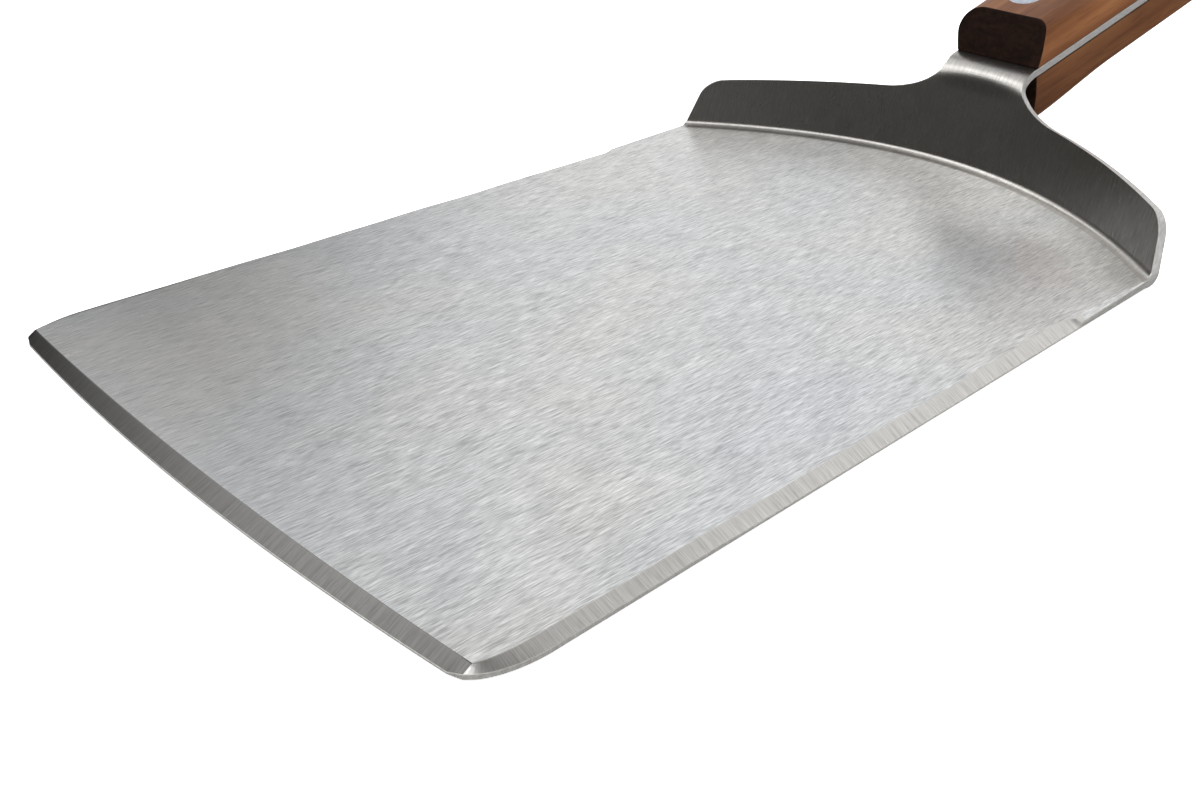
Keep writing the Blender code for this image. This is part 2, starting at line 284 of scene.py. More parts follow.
def round_profile(width, drop):
    """(inset, depth) points round the edge of a sheet that has no bevel."""
    angles = [pi / 2 * i / EDGE_STEPS for i in range(EDGE_STEPS + 1)]
    return [Vector((width * (1 - sin(a)), drop * (1 - cos(a)))) for a in angles] + bottom_corner()


def bottom_corner():
    """(inset, depth) points round the underside's worn edge."""
    return [Vector((0.0, SHEET - WORN_EDGE)), Vector((WORN_CORNER, SHEET - WORN_CORNER)),
            Vector((WORN_EDGE, SHEET))]


def dubbed_profile(y):
    """The edge between the run-out and the flange: ground well over at first, then less and less."""
    part = clamp((y - RUN_OUT_END) / (BEND_SIDE_Y - RUN_OUT_END))
    return round_profile(mix(DUBBED_WIDTH, FLANGE_ROUND, part), mix(DUBBED_DEPTH, FLANGE_ROUND, part))


def side_profile(y):
    """The rim's profile along the side: the bevel, its scooped run-out, then the dubbed edge."""
    if y > RUN_OUT_END + RUN_OUT_FADE:
        return dubbed_profile(y)
    part = clamp((y - RUN_OUT_START) / (RUN_OUT_END - RUN_OUT_START))
    width = max(SIDE_BEVEL * sqrt(1 - part * part), RUN_OUT_WIDTH)
    land = mix(SIDE_LAND, REAR_LAND, smoothstep((y - SIDE_START_Y) / (REAR_LAND_Y - SIDE_START_Y)))
    ground = bevel_profile(width, SHEET - land)
    fade = smoothstep((y - RUN_OUT_END + RUN_OUT_FADE) / (2 * RUN_OUT_FADE))
    return [a.lerp(b, fade) for a, b in zip(ground, dubbed_profile(y))]


def side_rim(y):
    """Points down the right side of the web at y, in the part's frame."""
    if y >= SIDE_START_Y:
        outer = Vector((side_half(y), y))
        inner = outer - Vector((SIDE_BEVEL, 0.0))
        profile = side_profile(y)
    else:
        mitre_y = front_bevel_top(MITRE_X)
        part = (SIDE_START_Y - y) / (SIDE_START_Y - mitre_y)
        fan = (mitre_y - front_edge(MITRE_X)) * part**MITRE_FAN
        turned = asin((SIDE_START_Y - y + fan) / CORNER_Y)
        outer_x = FRONT_HALF_WIDTH - CORNER_X * (1 - cos(turned))
        outer = Vector((outer_x, SIDE_START_Y - CORNER_Y * sin(turned)))
        inner_x = FRONT_HALF_WIDTH - SIDE_BEVEL
        inner = Vector((mix(inner_x, MITRE_X, part**MITRE_SWEEP), y))
        profile = bevel_profile((inner - outer).length, SHEET - SIDE_LAND)
    return rim_points(outer, inner, profile)


def rim_points(outer, inner, profile):
    """A profile's points, from the outline at outer towards inner."""
    inward = (inner - outer).normalized()
    return [web_point(outer + inward * inset, depth) for inset, depth in profile]


def front_rim(x):
    """Points down the front edge at x."""
    outer = Vector((x, front_edge(x)))
    inner = Vector((x, front_bevel_top(x)))
    corner = smoothstep((abs(x) - FRONT_HALF_WIDTH + CORNER_X) / (MITRE_X - FRONT_HALF_WIDTH + CORNER_X))
    land = mix(FRONT_LAND, SIDE_LAND, corner)
    return rim_points(outer, inner, bevel_profile((inner - outer).length, SHEET - land))


def web_point(plan, depth):
    """A point of the web; its top follows the wave and its underside is flat."""
    share = 1 - depth / SHEET
    return Vector((plan.x, plan.y, SHEET - depth + wave(plan.y) * share))


def bend_line(x):
    return BEND_SIDE_Y + BEND_SAG * crown(x, 0.0)


def bend_reach():
    """How far the bend's arc reaches to each side of its sharp corner, where it turns the most."""
    return BEND_RADIUS * tan((pi / 2 - LEAN_SIDE) / 2)


def web_heights():
    """The y of each row of the web along its side, finer round the corner and at the run-out."""
    stretches = [(front_bevel_top(MITRE_X), SIDE_START_Y, CORNER_STEP),
                 (SIDE_START_Y, RUN_OUT_START, WEB_STEP),
                 (RUN_OUT_START, RUN_OUT_END + 2 * RUN_OUT_FADE, FINE_STEP),
                 (RUN_OUT_END + 2 * RUN_OUT_FADE, BEND_SIDE_Y - bend_reach() - WEB_MARGIN, WEB_STEP)]
    heights = []
    for start, end, step in stretches:
        count = max(1, round((end - start) / step))
        heights += [mix(start, end, i / count) for i in range(count)]
    return heights + [stretches[-1][1]]


def web_rows():
    """Rows of the web from front to rear, as (top points, right rim points, underside points)."""
    heights = web_heights()
    first, last = heights[0], heights[-1]
    rows = []
    for y in heights:
        t = (y - first) / (last - first)
        rim = side_rim(y)
        rows.append((web_line(rim[0], t, 0.0), rim, web_line(rim[-1], t, SHEET)))
    return rows


def web_line(end, t, depth):
    """A row of points across the web that ends at a rim point and at its mirror image."""
    miss = end.y - line_y(end.x, t, depth)
    line = []
    for c in COLUMN_PLACES:
        x = end.x * c
        line.append(web_point(Vector((x, line_y(x, t, depth) + miss * abs(c) ** ROW_EASE)), depth))
    return line


def line_y(x, t, depth):
    """A share t of the way from the front edge to the bend, on the top (depth 0) or the underside."""
    front = front_bevel_top(x) if depth == 0.0 else front_edge(x)
    return mix(front + WORN_EDGE, bend_line(x) - bend_reach() - WEB_MARGIN, t)


# ---- The flange, the neck and the tang ----


def arc_between(start, corner, end, radius, steps):
    """Points of the arc that rounds the corner of two straight lines."""
    back = (start - corner).normalized()
    ahead = (end - corner).normalized()
    half = back.angle(ahead) / 2
    centre = corner + (back + ahead).normalized() * radius / sin(half)
    first = corner + back * radius / tan(half) - centre
    last = corner + ahead * radius / tan(half) - centre
    return [centre + radius * first.slerp(last, i / steps) for i in range(steps + 1)]


def top_edge(x):
    return FLANGE_TOP + (FLANGE_TOP_HALF - x) * FLANGE_TOP_SLOPE


def flange_outline():
    """(s, half width) from the start of the bend to the tang, in order."""
    foot_half = side_half(BEND_SIDE_Y)
    outline = []
    for i in range(BEND_STEPS + 1):
        s = bend_reach() * (2 * i / BEND_STEPS - 1)
        inward = (foot_half - FLANGE_TOP_HALF) * max(s, 0.0) / FLANGE_TOP
        outline.append((s, side_half(BEND_SIDE_Y + min(s, 0.0)) - inward))
    foot = Vector((foot_half, 0.0))
    shoulder = Vector((FLANGE_TOP_HALF, FLANGE_TOP))
    ease = Vector((NECK_EASE_START, top_edge(NECK_EASE_START)))
    corner = arc_between(foot, shoulder, ease, FLANGE_CORNER, OUTLINE_STEPS)
    outline += [(p.y, p.x) for p in corner]
    for i in range(1, TOP_EDGE_STEPS + 1):
        p = corner[-1].lerp(ease, i / TOP_EDGE_STEPS)
        outline.append((p.y, p.x))
    for i in range(1, OUTLINE_STEPS + 1):
        angle = pi / 2 * i / OUTLINE_STEPS
        x = NECK_EASE_START - (NECK_EASE_START - HANDLE_HALF) * sin(angle)
        outline.append((top_edge(x) + NECK_EASE_RISE * (1 - cos(angle)), x))
    return outline


def butt_outline():
    """(s, half width) of the tang's rounded butt."""
    end = neck_run()[1] + handle_front(-SHEET / 2) + SCALE_LENGTH
    angles = [pi / 2 * i / ROUND_STEPS for i in range(ROUND_STEPS + 1)]
    inner = HANDLE_HALF - BUTT_ROUND
    return [(end - BUTT_ROUND * (1 - sin(a)), inner + BUTT_ROUND * cos(a)) for a in angles]


def flange_stations():
    """The outline with the neck bend's own rows added, at the width the outline has there."""
    outline = flange_outline()
    wall_slope, neck_s = neck_run()
    reach = NECK_RADIUS * tan((wall_slope - TANG_SLOPE) / 2)
    stations = list(outline)
    for i in range(BEND_STEPS + 1):
        s = neck_s + reach * (2 * i / BEND_STEPS - 1)
        after = bisect.bisect([row[0] for row in outline], s)
        half = HANDLE_HALF
        if after < len(outline):
            (s0, h0), (s1, h1) = outline[after - 1], outline[after]
            half = mix(h0, h1, (s - s0) / (s1 - s0))
        stations.append((s, half))
    return sorted(stations) + butt_outline()


def flange_rows():
    """Rows of the flange, the neck and the tang, like those of the web and with s added."""
    rows = []
    for s, half in flange_stations():
        profile = dubbed_profile(BEND_SIDE_Y + s)
        rim = [sheet_point(half - inset, s, depth) for inset, depth in profile]
        top_half = half - profile[0].x
        low_half = half - profile[-1].x
        tops = [sheet_point(top_half * c, s, 0.0) for c in COLUMN_PLACES]
        lows = [sheet_point(low_half * c, s, SHEET) for c in COLUMN_PLACES]
        rows.append((tops, rim, lows, s))
    return rows


# ---- Mesh helpers ----


def mirrored(points):
    return [Vector((-p.x, p.y, p.z)) for p in points]


def place(p):
    """A point of the part's frame in the row frame, in metres."""
    return Vector((p.x, p.y + Y_SHIFT, p.z)) * MM


class Sheet:
    """A bmesh whose faces carry grain coordinates and a material."""

    def __init__(self):
        self.bm = bmesh.new()
        self.layer = self.bm.loops.layers.uv.new(GRAIN)

    def verts(self, points):
        return [self.bm.verts.new(place(p)) for p in points]

    def face(self, verts, coords, material_index):
        made = self.bm.faces.new(verts)
        made.material_index = material_index
        for loop, coord in zip(made.loops, coords):
            loop[self.layer].uv = coord

    def strip(self, first, second, first_coords, second_coords, material_indices):
        """Quads between two equally long runs of vertices."""
        for i, material_index in enumerate(material_indices):
            corners = (first[i], first[i + 1], second[i + 1], second[i])
            coords = (first_coords[i], first_coords[i + 1], second_coords[i + 1], second_coords[i])
            self.face(corners, coords, material_index)


def finish_object(name, bm, materials):
    """An object from a bmesh, smooth but for its sharp edges."""
    bmesh.ops.recalc_face_normals(bm, faces=bm.faces)
    mesh = bpy.data.meshes.new(name)
    bm.to_mesh(mesh)
    bm.free()
    for material in materials:
        mesh.materials.append(material)
    mesh.shade_smooth()
    mesh.set_sharp_from_angle(angle=SHARP_ANGLE)
    obj = bpy.data.objects.new(name, mesh)
    bpy.context.scene.collection.objects.link(obj)
    return obj


def weight_normals(obj):
    modifier = obj.modifiers.new("flat_faces_lead", "WEIGHTED_NORMAL")
    modifier.keep_sharp = True
    modifier.weight = 100


def cut(obj, cutter):
    modifier = obj.modifiers.new("cut_" + cutter.name, "BOOLEAN")
    modifier.operation = "DIFFERENCE"
    modifier.solver = "EXACT"
    modifier.object = cutter


def apply_modifiers(obj):
    """Bakes the modifiers into the mesh."""
    graph = bpy.context.evaluated_depsgraph_get()
    made = bpy.data.meshes.new_from_object(obj.evaluated_get(graph))
    obj.modifiers.clear()
    obj.data = made


# ---- The steel sheet ----

# the flange's material is the web's steel darkened as painted shade, and the front bevel's is the side
# bevel's ground steel darkened as painted shade
WEB, FLANGE_PAINTED_SHADE, GROUND, FRONT_GROUND_PAINTED_SHADE, SHEARED, POLISHED = range(6)

# The finishes of the faces down each kind of rim, from the top face to the underside.
BEVEL_FACES = 5
LAND_FACES = 5
FLANGE_FACES = 3
GROUND_RIM = [GROUND] * BEVEL_FACES + [SHEARED] * LAND_FACES
FRONT_RIM = [FRONT_GROUND_PAINTED_SHADE] * BEVEL_FACES + [SHEARED] * LAND_FACES
DUBBED_RIM = [WEB] * BEVEL_FACES + [SHEARED] * LAND_FACES
FLANGE_RIM = [FLANGE_PAINTED_SHADE] * FLANGE_FACES + [POLISHED] * (BEVEL_FACES + LAND_FACES - FLANGE_FACES)


def rim_distances(points):
    """How far down the rim each point is."""
    total = 0.0
    distances = [0.0]
    for a, b in zip(points, points[1:]):
        total += (b - a).length
        distances.append(total)
    return distances


class Row:
    """A row of the sheet's vertices, across it and down both rims, with their grain coordinates.

    A row of the web has no s. Scratches run down a ground rim and along any other."""

    def __init__(self, sheet, tops, rim, lows, s=None):
        self.in_web = s is None
        self.top = sheet.verts(tops)
        self.low = sheet.verts(lows)
        self.right = [self.top[-1], *sheet.verts(rim[1:-1]), self.low[-1]]
        self.left = [self.top[0], *sheet.verts(mirrored(rim[1:-1])), self.low[0]]
        lengths = [p.y if self.in_web else BEND_SIDE_Y + BEND_SAG * crown(p.x, s) + s for p in tops]
        self.across = [(p.x, length) for p, length in zip(tops, lengths)]
        self.down_rim = [(lengths[-1], d) for d in rim_distances(rim)]
        self.along_rim = [(tops[-1].x + d, lengths[-1]) for d in rim_distances(rim)]
        self.is_ground = lengths[-1] < RUN_OUT_END + RUN_OUT_FADE


def join_rows(sheet, near, far):
    # the flange, neck and tang take the web's steel darkened as painted shade
    faces = [WEB if far.in_web else FLANGE_PAINTED_SHADE] * COLUMNS
    sheet.strip(near.top, far.top, near.across, far.across, faces)
    sheet.strip(near.low, far.low, near.across, far.across, faces)
    if far.is_ground:
        coords = (near.down_rim, far.down_rim, GROUND_RIM)
    else:
        coords = (near.along_rim, far.along_rim, DUBBED_RIM if far.in_web else FLANGE_RIM)
    sheet.strip(near.right, far.right, *coords)
    sheet.strip(near.left, far.left, *coords)


def add_front_rim(sheet, row, tops, corner_rim):
    """The faces down the front edge, from the left mitre to the right one."""
    previous = row.left
    previous_coords = [(tops[0].x, d) for d in rim_distances(corner_rim)]
    for point, top, low in zip(tops[1:], row.top[1:], row.low[1:]):
        rim = front_rim(point.x)
        inner = row.right[1:-1] if top is row.top[-1] else sheet.verts(rim[1:-1])
        column = [top, *inner, low]
        coords = [(point.x, d) for d in rim_distances(rim)]
        sheet.strip(previous, column, previous_coords, coords, FRONT_RIM)
        previous, previous_coords = column, coords


def add_butt_face(sheet, row):
    loop = row.top + row.right[1:-1] + row.low[::-1] + row.left[-2:0:-1]
    sheet.face(loop, [(0.0, 0.0)] * len(loop), POLISHED)


def make_blade(materials):
    sheet = Sheet()
    plan = web_rows() + flange_rows()
    rows = [Row(sheet, *points) for points in plan]
    for near, far in zip(rows, rows[1:]):
        join_rows(sheet, near, far)
    tops, corner_rim = plan[0][:2]
    add_front_rim(sheet, rows[0], tops, corner_rim)
    add_butt_face(sheet, rows[-1])
    return finish_object("steel_blade", sheet.bm, materials)


# ---- The handle ----

# the END_GRAIN faces take the dark end grain with painted shade
SIDE_GRAIN, END_GRAIN = range(2)


def handle_origin():
    """Where the sharp corner of the neck's bend is in the row frame, in metres."""
    return Vector((0.0, neck_corner_y() + Y_SHIFT, NECK_HEIGHT)) * MM


def in_handle_frame(obj):
    """Puts a mesh made in the handle's frame (x across, y along, z up from the tang) in place."""
    obj.data.transform(Matrix.Translation(handle_origin()) @ Matrix.Rotation(TANG_SLOPE, 4, "X"))
    return obj


def scale_section(u, side_sign, depths):
    """Half widths of a scale at a distance u from its front, for each depth from the tang.

    The edge's rounding differs between left and right at the hand-shaped front, and evens out."""
    front_round = RIGHT_FRONT_ROUND if side_sign > 0 else LEFT_FRONT_ROUND
    radius = mix(front_round, EDGE_ROUND, smoothstep(u / SHAPED_LENGTH))
    widths = []
    for depth in depths:
        bulge = SIDE_BULGE * sin(pi / 2 * min(depth / (SCALE_THICK - EDGE_ROUND), 1.0))
        over = max(depth - SCALE_THICK + radius, 0.0)
        widths.append(HANDLE_HALF + bulge - radius + sqrt(max(radius * radius - over * over, 0.0)))
    return widths


def scale_stations():
    """Places along a scale: evenly over its length, then closer round the butt."""
    straight = SCALE_LENGTH - BUTT_ROUND
    places = [straight * i / SCALE_ROWS for i in range(SCALE_ROWS)]
    angles = [pi / 2 * i / ROUND_STEPS for i in range(ROUND_STEPS)]
    return places + [straight + BUTT_ROUND * sin(a) for a in angles]


def butt_drop(u):
    """How much the butt's rounding takes off each side at a distance u from the scale's front."""
    over = max(u - SCALE_LENGTH + BUTT_ROUND, 0.0)
    return BUTT_ROUND - sqrt(max(BUTT_ROUND**2 - over * over, 0.0))


def scale_ring(u, side, depths):
    """A scale's outline at a distance u from its front: out along the right side, back on the left."""
    tang_face = 0.0 if side > 0 else -SHEET
    drop = butt_drop(u)
    ring = []
    for sign in (1, -1):
        points = []
        for depth, width in zip(depths, scale_section(u, sign, depths)):
            n = tang_face + side * (depth - drop * BUTT_TAPER * (depth / SCALE_THICK) ** 2)
            along = handle_front(n) if u == 0.0 else handle_front(-SHEET / 2) + u
            points.append(Vector((sign * width * (1 - drop / HANDLE_HALF), along, n)) * MM)
        ring += points if sign > 0 else points[::-1]
    return ring


def make_scale(name, side, materials):
    """A wooden scale above (side 1) or below (side -1) the tang; its front face shows end grain."""
    shares = [sin(pi / 2 * i / DEPTH_STEPS) for i in range(DEPTH_STEPS + 1)]
    depths = [mix(SCALE_JOIN, SCALE_THICK, share) for share in shares]
    bm = bmesh.new()
    rings = [[bm.verts.new(p) for p in scale_ring(u, side, depths)] for u in scale_stations()]
    for near, far in zip(rings, rings[1:]):
        for i in range(len(near)):
            j = (i + 1) % len(near)
            bm.faces.new((near[i], near[j], far[j], far[i]))
    bm.faces.new(rings[0]).material_index = END_GRAIN
    bm.faces.new(rings[-1]).material_index = SIDE_GRAIN
    obj = in_handle_frame(finish_object(name, bm, materials))
    bevel = obj.modifiers.new("softened_ends", "BEVEL")
    bevel.width = END_GRAIN_ROUND * MM
    bevel.segments = SOFTENED_STEPS
    bevel.limit_method = "ANGLE"
    bevel.angle_limit = SOFTENED_ANGLE
    # the softened arris takes the same near-black end grain, painted shade included
    bevel.material = END_GRAIN
    return obj


def turned(name, profile, u, materials):
    """A round piece on an axis across the handle, from (radius, n) points that start and end on it."""
    bm = bmesh.new()
    rings = []
    for radius, n in profile:
        if radius == 0.0:
            rings.append([bm.verts.new(Vector((0.0, 0.0, n)) * MM)])
            continue
        angles = [2 * pi * i / RIVET_SIDES for i in range(RIVET_SIDES)]
        rings.append([bm.verts.new(Vector((radius * cos(a), radius * sin(a), n)) * MM) for a in angles])
    for first, second in zip(rings, rings[1:]):
        for i in range(RIVET_SIDES):
            j = (i + 1) % RIVET_SIDES
            corners = (first[i % len(first)], first[j % len(first)],
                       second[j % len(second)], second[i % len(second)])
            bm.faces.new(list(dict.fromkeys(corners)))
    bmesh.ops.translate(bm, vec=(0.0, u * MM, 0.0), verts=bm.verts)
    return in_handle_frame(finish_object(name, bm, materials))


def head_face(n, outward):
    """(radius, n) points over a rivet head, from its centre to its worn rim."""
    return [(0.0, n), (HEAD_RADIUS / 2, n - outward * HEAD_DOME / 4),
            (HEAD_RADIUS - HEAD_EDGE, n - outward * HEAD_DOME),
            (HEAD_RADIUS - HEAD_WORN, n - outward * (HEAD_DOME + HEAD_WORN)),
            (HEAD_RADIUS, n - outward * (HEAD_DOME + HEAD_EDGE))]


def rivet_profiles():
    """The (radius, n) outlines of the male half, the female half and the hole that they sit in."""
    top = SCALE_THICK
    bottom = -SHEET - SCALE_THICK
    under_male = top - HEAD_THICK
    over_female = bottom + HEAD_THICK
    tube_end = under_male - 2 * INNER_GAP
    bore_floor = tube_end - BORE_DEPTH
    male = head_face(top, 1) + [(HEAD_RADIUS, under_male), (SHANK_RADIUS, under_male),
                                (SHANK_RADIUS, bore_floor + INNER_GAP), (0.0, bore_floor + INNER_GAP)]
    female = head_face(bottom, -1) + [(HEAD_RADIUS, over_female), (TUBE_RADIUS, over_female),
                                      (TUBE_RADIUS, tube_end), (BORE_RADIUS, tube_end),
                                      (BORE_RADIUS, bore_floor), (0.0, bore_floor)]
    seat = HEAD_RADIUS + FIT_GAP
    hole = TUBE_RADIUS + FIT_GAP
    drilled = [(0.0, bottom - DRILL_BEYOND), (seat, bottom - DRILL_BEYOND), (seat, over_female + FIT_GAP),
               (hole, over_female + FIT_GAP), (hole, under_male - FIT_GAP), (seat, under_male - FIT_GAP),
               (seat, top + DRILL_BEYOND), (0.0, top + DRILL_BEYOND)]
    return male, female, drilled


def make_rivets(metal, drilled_objects):
    """Each rivet's two halves with their nodes' names; their holes are cut through the other pieces."""
    male, female, drilled = rivet_profiles()
    rivets = []
    drills = []
    for where, distance in RIVET_PLACES.items():
        u = handle_front(-SHEET / 2) + distance
        for half, profile in (("male", male), ("female", female)):
            piece = turned("turned_" + where + "_" + half, profile, u, [metal])
            weight_normals(piece)
            rivets.append((piece, "rivet_" + where + "_" + half))
        drill = turned("drill_" + where, drilled, u, [])
        drills.append(drill)
        for obj in drilled_objects:
            cut(obj, drill)
    for obj in drilled_objects:
        apply_modifiers(obj)
        weight_normals(obj)
    for drill in drills:
        bpy.data.objects.remove(drill)
    return rivets


# ---- Materials ----


class Nodes:
    """Short names for building a node tree."""

    def __init__(self, name):
        self.material = bpy.data.materials.new(name)
        self.material.use_nodes = True
        self.tree = self.material.node_tree
        self.shader = self.tree.nodes["Principled BSDF"]

    def node(self, kind, **settings):
        made = self.tree.nodes.new("ShaderNode" + kind)
        for key, value in settings.items():
            setattr(made, key, value)
        return made

    def link(self, source, target):
        self.tree.links.new(source, target)

    def set(self, socket, value):
        self.shader.inputs[socket].default_value = value

    def noise(self, vector, scale, detail=2.0, roughness=0.5):
        """Noise on coordinates stretched by scale = (across, along, up)."""
        mapping = self.node("Mapping")
        mapping.inputs["Scale"].default_value = scale
        self.link(vector, mapping.inputs["Vector"])
        noise = self.node("TexNoise")
        noise.inputs["Scale"].default_value = 1.0
        noise.inputs["Detail"].default_value = detail
        noise.inputs["Roughness"].default_value = roughness
        self.link(mapping.outputs["Vector"], noise.inputs["Vector"])
        return noise.outputs["Fac"]

    def remap(self, value, low, high, to_low, to_high):
        made = self.node("MapRange")
        for name, number in (("From Min", low), ("From Max", high), ("To Min", to_low), ("To Max", to_high)):
            made.inputs[name].default_value = number
        self.link(value, made.inputs["Value"])
        return made.outputs["Result"]

    def math(self, operation, a, b):
        made = self.node("Math", operation=operation)
        for socket, value in zip(made.inputs, (a, b)):
            if isinstance(value, (int, float)):
                socket.default_value = value
            else:
                self.link(value, socket)
        return made.outputs[0]

    def average(self, a, share, b):
        """A share of a and the rest of b."""
        return self.math("ADD", self.math("MULTIPLY", a, share), self.math("MULTIPLY", b, 1 - share))

    def ramp(self, value, *stops):
        made = self.node("ValToRGB")
        elements = made.color_ramp.elements
        while len(elements) < len(stops):
            elements.new(1.0)
        for element, (position, colour) in zip(elements, stops):
            element.position = position
            element.color = (*colour, 1.0)
        self.link(value, made.inputs["Fac"])
        return made.outputs["Color"]

    def blend(self, kind, factor, a, b):
        made = self.node("Mix", data_type="RGBA", blend_type=kind)
        for socket, value in ((made.inputs[0], factor), (made.inputs[6], a), (made.inputs[7], b)):
            if isinstance(value, (int, float, tuple)):
                socket.default_value = value
            else:
                self.link(value, socket)
        return made.outputs[2]

    # darkens a colour by one factor; the script uses it to paint shade
    def shaded(self, colour, painted_shade):
        return self.blend("MULTIPLY", 1.0, colour, (painted_shade, painted_shade, painted_shade, 1.0))

    def bump(self, height, strength, distance):
        made = self.node("Bump")
        made.inputs["Strength"].default_value = strength
        made.inputs["Distance"].default_value = distance
        self.link(height, made.inputs["Height"])
        self.link(made.outputs["Normal"], self.shader.inputs["Normal"])

    def grain_coordinates(self):
        return self.node("UVMap", uv_map=GRAIN).outputs["UV"]

    def handle_coordinates(self, shift=(0.0, 0.0, 0.0)):
        """The piece's own coordinates, turned so that the second one runs along the handle."""
        made = self.node("Mapping", vector_type="TEXTURE")
        made.inputs["Location"].default_value = handle_origin() - Vector(shift)
        made.inputs["Rotation"].default_value = (TANG_SLOPE, 0.0, 0.0)
        self.link(self.node("TexCoord").outputs["Object"], made.inputs["Vector"])
        return made.outputs["Vector"]

    def grain_tangent(self):
        tangent = self.node("Tangent", direction_type="UV_MAP", uv_map=GRAIN)
        self.link(tangent.outputs["Tangent"], self.shader.inputs["Tangent"])


BARE_STEEL = (0.66, 0.665, 0.665)


def brushed_steel(name, contrast, tint_low, tint_high):
    """Steel brushed along the blade: fine broken streaks over soft patches, between two tints."""
    n = Nodes(name)
    uv = n.grain_coordinates()
    hair = n.noise(uv, (4.4, 0.22, 1.0), 2.0, 0.75)
    streak = n.noise(uv, (1.6, 0.10, 1.0), 3.0, 0.6)
    patch = n.noise(uv, (0.16, 0.06, 1.0), 3.0, 0.55)
    cloud = n.noise(uv, (0.02, 0.016, 1.0), 2.0, 0.5)
    fine = n.average(hair, 0.72, streak)
    tone = n.average(fine, 0.90, patch)
    colour = n.ramp(tone, (0.38, (0.44, 0.445, 0.45)), (0.50, BARE_STEEL), (0.62, (0.90, 0.90, 0.895)))
    even = n.blend("MIX", contrast, (*BARE_STEEL, 1.0), colour)
    tint = n.ramp(cloud, (0.35, tint_low), (0.65, tint_high))
    n.link(n.blend("MULTIPLY", 1.0, even, tint), n.shader.inputs["Base Color"])
    n.link(n.remap(tone, 0.35, 0.65, 0.38, 0.27), n.shader.inputs["Roughness"])
    n.set("Metallic", 1.0)
    n.set("Anisotropic", 0.5)
    n.grain_tangent()
    n.bump(fine, 0.5, 0.00003)
    return n.material


def ground_steel(name, painted_shade):
    """Bevels ground across the edge: short parallel scratches, here and there a deeper one."""
    n = Nodes(name)
    uv = n.grain_coordinates()
    scratch = n.noise(uv, (4.6, 0.16, 1.0), 3.0, 0.7)
    step = n.noise(uv, (0.9, 0.05, 1.0), 2.0, 0.5)
    tone = n.average(scratch, 0.78, step)
    colour = n.ramp(tone, (0.32, (0.46, 0.45, 0.43)), (0.5, (0.66, 0.65, 0.63)), (0.7, (0.84, 0.83, 0.80)))
    # the last factor darkens the whole colour: below 1 it is painted shade
    n.link(n.shaded(colour, painted_shade), n.shader.inputs["Base Color"])
    n.link(n.remap(tone, 0.3, 0.7, 0.40, 0.30), n.shader.inputs["Roughness"])
    n.set("Metallic", 1.0)
    n.bump(tone, 0.45, 0.00004)
    return n.material


def edge_steel(name, dark, pale):
    """The sheet's cut edges: satin, with faint marks between two greys."""
    n = Nodes(name)
    uv = n.grain_coordinates()
    marks = n.noise(uv, (1.6, 0.5, 1.0), 3.0, 0.6)
    colour = n.ramp(marks, (0.3, dark), (0.7, pale))
    n.link(colour, n.shader.inputs["Base Color"])
    n.link(n.remap(marks, 0.3, 0.7, 0.5, 0.38), n.shader.inputs["Roughness"])
    n.set("Metallic", 0.55)
    n.bump(marks, 0.3, 0.00003)
    return n.material


def side_grain(name, shift, painted_shade):
    """Oiled reddish brown wood seen along the grain; a shift picks another stretch of the grain, and the last
    factor darkens it as painted shade.
    """
    n = Nodes(name)
    spot = n.handle_coordinates(shift)
    band = n.noise(spot, (170.0, 5.0, 130.0), 3.0, 0.55)
    pores = n.noise(spot, (1500.0, 70.0, 1500.0), 2.0, 0.6)
    cloud = n.noise(spot, (60.0, 22.0, 60.0), 2.0, 0.5)
    colour = n.ramp(n.average(band, 0.7, cloud), (0.32, (0.090, 0.029, 0.008)), (0.45, (0.160, 0.056, 0.017)),
                    (0.56, (0.220, 0.084, 0.028)), (0.72, (0.300, 0.128, 0.046)))
    dark = n.ramp(pores, (0.34, (0.55, 0.48, 0.42)), (0.46, (1.0, 1.0, 1.0)))
    grained = n.blend("MULTIPLY", 0.6, colour, dark)
    n.link(n.shaded(grained, painted_shade), n.shader.inputs["Base Color"])
    n.link(n.remap(band, 0.3, 0.7, 0.52, 0.36), n.shader.inputs["Roughness"])
    n.set("Specular IOR Level", 0.25)
    n.bump(pores, 0.2, 0.0001)
    return n.material


def end_grain_and_painted_shade():
    """The end of the wood: oil-soaked end grain, darker than the sides, taken down to near black as painted
    shade.
    """
    n = Nodes("end_grain_and_painted_shade")
    spot = n.handle_coordinates()
    pores = n.noise(spot, (900.0, 900.0, 900.0), 3.0, 0.6)
    rings = n.noise(spot, (160.0, 60.0, 420.0), 3.0, 0.6)
    tone = n.average(pores, 0.4, rings)
    colour = n.ramp(tone, (0.35, (0.006, 0.0022, 0.001)), (0.68, (0.026, 0.009, 0.0035)))
    n.link(colour, n.shader.inputs["Base Color"])
    n.link(n.remap(tone, 0.3, 0.7, 0.75, 0.6), n.shader.inputs["Roughness"])
    n.set("Specular IOR Level", 0.2)
    n.bump(tone, 0.4, 0.0001)
    return n.material


def rivet_metal():
    """Pale aluminium, scuffed lightly along the handle."""
    n = Nodes("rivet_metal")
    spot = n.handle_coordinates()
    scuff = n.noise(spot, (2600.0, 260.0, 800.0), 3.0, 0.6)
    colour = n.ramp(scuff, (0.3, (0.40, 0.44, 0.50)), (0.7, (0.60, 0.65, 0.72)))
    n.link(colour, n.shader.inputs["Base Color"])
    n.link(n.remap(scuff, 0.3, 0.7, 0.42, 0.3), n.shader.inputs["Roughness"])
    n.set("Metallic", 1.0)
    n.bump(scuff, 0.25, 0.00003)
    return n.material


def floor_material():
    """Matt white that glows a little, so that no shadow on it is dark."""
    n = Nodes("floor")
    n.set("Base Color", (0.93, 0.93, 0.93, 1.0))
    n.set("Roughness", 0.9)
    n.set("Specular IOR Level", 0.0)
    n.set("Emission Color", (1.0, 1.0, 1.0, 1.0))
    n.set("Emission Strength", 0.8)
    return n.material


# ---- Stage ----

